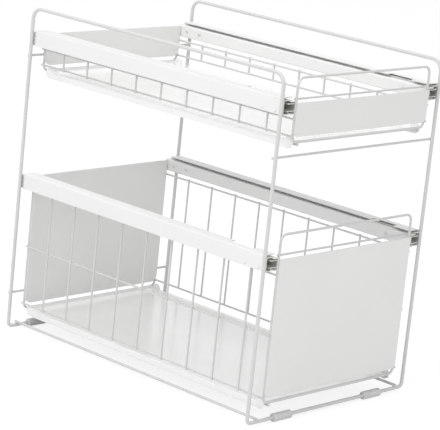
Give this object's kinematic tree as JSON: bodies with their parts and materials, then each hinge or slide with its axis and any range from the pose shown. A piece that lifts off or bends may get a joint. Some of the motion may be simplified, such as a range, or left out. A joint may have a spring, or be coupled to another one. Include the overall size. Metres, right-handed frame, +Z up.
{
  "type": "under sink organizer",
  "caption": "White wire organizer for a sink cabinet: a bent wire frame with an upper and a deeper lower drawer on ball-bearing slides.",
  "frame": {"origin": "on the floor under the middle of the frame", "axes": "+Z up, -Y towards the front that the drawers pull out of, +X to the right seen from behind the front"},
  "size_m": [0.2846, 0.4322, 0.4182],
  "materials": {
    "white_wire": "semi-gloss white powder coat over steel wire",
    "white_panel": "semi-gloss white powder coat over sheet steel",
    "white_pan": "semi-gloss white powder coat over sheet steel",
    "white_rail": "semi-gloss white powder coat over folded sheet steel",
    "zinc_steel": "dull zinc-plated steel",
    "ball_cage": "zinc-plated strip with polished steel balls",
    "fixings": "zinc-plated rivets and screws",
    "foot_sleeve": "soft light grey plastic"
  },
  "bodies": {
    "frame": {"side_frame_left": "white_wire", "side_frame_right": "white_wire", "bottom_bar_front": "white_wire", "bottom_bar_rear": "white_wire", "floor_runner_left": "white_wire", "floor_runner_right": "white_wire", "cross_wire_front": "white_wire", "cross_wire_rear_upper": "white_wire", "cross_wire_rear_lower": "white_wire", "foot_sleeve_front_left": "foot_sleeve", "foot_sleeve_front_right": "foot_sleeve", "foot_sleeve_rear_left": "foot_sleeve", "foot_sleeve_rear_right": "foot_sleeve", "rail_cover_upper_left": "white_rail", "slide_outer_upper_left": "zinc_steel", "rail_cover_upper_right": "white_rail", "slide_outer_upper_right": "zinc_steel", "rail_cover_lower_left": "white_rail", "slide_outer_lower_left": "zinc_steel", "rail_cover_lower_right": "white_rail", "slide_outer_lower_right": "zinc_steel", "cover_rivets": "fixings"},
    "upper_drawer": {"upper_front_loop": "white_wire", "upper_rear_loop": "white_wire", "upper_cross_wire": "white_wire", "upper_front_panel": "white_panel", "upper_rear_panel": "white_panel", "upper_side_grid_left": "white_wire", "upper_side_grid_right": "white_wire", "upper_drawer_rail_left": "white_rail", "upper_drawer_rail_right": "white_rail", "upper_slide_inner_left": "zinc_steel", "upper_slide_inner_right": "zinc_steel", "upper_support_wires": "white_wire", "upper_floor_pan": "white_pan", "upper_screws": "fixings"},
    "lower_drawer": {"lower_front_loop": "white_wire", "lower_rear_loop": "white_wire", "lower_cross_wire": "white_wire", "lower_front_panel": "white_panel", "lower_rear_panel": "white_panel", "lower_side_grid_left": "white_wire", "lower_side_grid_right": "white_wire", "lower_drawer_rail_left": "white_rail", "lower_drawer_rail_right": "white_rail", "lower_slide_inner_left": "zinc_steel", "lower_slide_inner_right": "zinc_steel", "lower_support_wires": "white_wire", "lower_floor_pan": "white_pan", "lower_screws": "fixings"},
    "upper_cage_left": {"ball_cage_upper_left": "ball_cage"},
    "upper_cage_right": {"ball_cage_upper_right": "ball_cage"},
    "lower_cage_left": {"ball_cage_lower_left": "ball_cage"},
    "lower_cage_right": {"ball_cage_lower_right": "ball_cage"}
  },
  "joints": [
    {"name": "upper_drawer_slide", "type": "slide", "parent": "frame", "child": "upper_drawer", "axis": [0, -1, 0], "range_m": [0, 0.3]},
    {"name": "lower_drawer_slide", "type": "slide", "parent": "frame", "child": "lower_drawer", "axis": [0, -1, 0], "range_m": [0, 0.3]},
    {"name": "upper_cage_slide_left", "type": "slide", "parent": "frame", "child": "upper_cage_left", "axis": [0, -1, 0], "range_m": [0, 0.15]},
    {"name": "upper_cage_slide_right", "type": "slide", "parent": "frame", "child": "upper_cage_right", "axis": [0, -1, 0], "range_m": [0, 0.15]},
    {"name": "lower_cage_slide_left", "type": "slide", "parent": "frame", "child": "lower_cage_left", "axis": [0, -1, 0], "range_m": [0, 0.15]},
    {"name": "lower_cage_slide_right", "type": "slide", "parent": "frame", "child": "lower_cage_right", "axis": [0, -1, 0], "range_m": [0, 0.15]}
  ],
  "couplings": [
    {"joint": "upper_cage_slide_left", "follows": "upper_drawer_slide", "ratio": 0.5},
    {"joint": "upper_cage_slide_right", "follows": "upper_drawer_slide", "ratio": 0.5},
    {"joint": "lower_cage_slide_left", "follows": "lower_drawer_slide", "ratio": 0.5},
    {"joint": "lower_cage_slide_right", "follows": "lower_drawer_slide", "ratio": 0.5}
  ]
}
